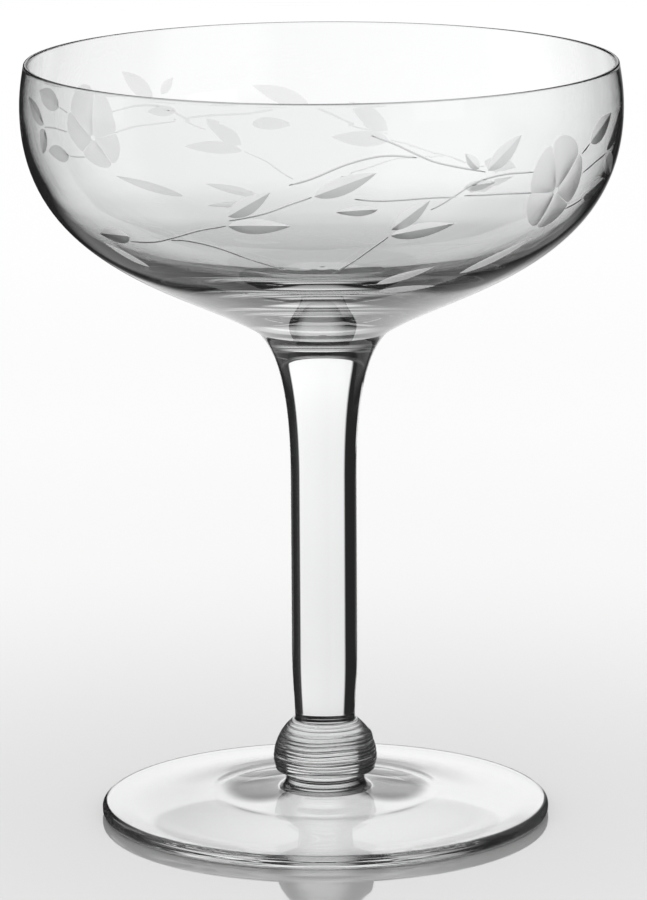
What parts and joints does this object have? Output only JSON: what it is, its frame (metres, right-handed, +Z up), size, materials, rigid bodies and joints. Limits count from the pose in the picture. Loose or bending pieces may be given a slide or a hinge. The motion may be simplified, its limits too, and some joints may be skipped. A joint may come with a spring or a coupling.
{
  "type": "sherbet glass",
  "caption": "Stemmed saucer glass for sherbet: thin blown bowl, solid flared stem, ringed collar and flat round foot, all of clear glass.",
  "frame": {"origin": "centre of the foot's flat underside, on the table", "axes": "+Z up along the axis that all pieces are turned about; X and Y lie on the table and may point anywhere"},
  "size_m": [0.0972, 0.0972, 0.1245],
  "materials": {
    "clear_glass": "fire-polished"
  },
  "bodies": {
    "root": {"bowl": "clear_glass", "stem": "clear_glass", "collar": "clear_glass", "foot": "clear_glass"}
  },
  "joints": []
}
